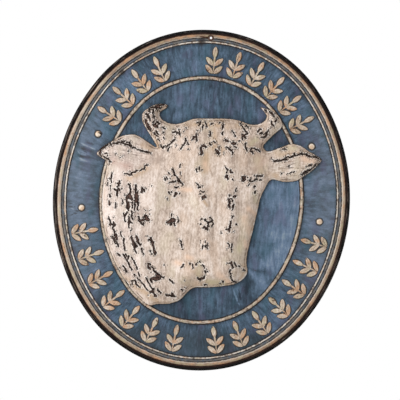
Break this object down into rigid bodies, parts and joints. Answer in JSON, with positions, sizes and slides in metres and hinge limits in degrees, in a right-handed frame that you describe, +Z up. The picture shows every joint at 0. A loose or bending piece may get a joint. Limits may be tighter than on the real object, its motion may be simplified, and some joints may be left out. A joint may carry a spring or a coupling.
{
  "type": "wall-hung oval trade sign",
  "caption": "Oval pressed-sheet dairy sign with a wired edge, raised beads, a raised cow's head, leaf sprigs and studs in its band, and an eyelet to hang it by.",
  "frame": {"origin": "middle of the hanging eyelet's bore, at the back face of the sheet; the wall plane lies 5.6 mm behind it", "axes": "+Z up the sign, +X to the right as it is looked at, +Y from the sign into the wall, along the eyelet's bore; the raised front faces -Y"},
  "size_m": [0.61, 0.0344, 0.7],
  "materials": {
    "sheet": "streaky worn matt paint, slate blue, with cream beads and a black edge",
    "head": "chipped matt cream paint over dark brown metal",
    "trim": "worn matt cream paint with tan patches and dark edges",
    "wire": "drawn steel, hidden in the rolled edge",
    "eyelet": "rusted steel"
  },
  "bodies": {
    "root": {"face_sheet": "sheet", "rim_wire": "wire", "cow_head": "head", "hanging_eyelet": "eyelet", "boss_upper_left": "trim", "boss_left": "trim", "boss_upper_right": "trim", "boss_right": "trim", "sprig_upper_left_1": "trim", "sprig_upper_left_2": "trim", "sprig_upper_left_3": "trim", "sprig_upper_left_4": "trim", "sprig_upper_right_1": "trim", "sprig_upper_right_2": "trim", "sprig_upper_right_3": "trim", "sprig_upper_right_4": "trim", "sprig_upper_right_5": "trim", "sprig_upper_right_6": "trim", "sprig_lower_left_1": "trim", "sprig_lower_left_2": "trim", "sprig_lower_left_3": "trim", "sprig_lower_left_4": "trim", "sprig_lower_left_5": "trim", "sprig_lower_left_6": "trim", "sprig_lower_left_7": "trim", "sprig_lower_right_1": "trim", "sprig_lower_right_2": "trim", "sprig_lower_right_3": "trim", "sprig_lower_right_4": "trim", "sprig_lower_right_5": "trim", "sprig_lower_right_6": "trim", "sprig_lower_right_7": "trim"}
  },
  "joints": []
}
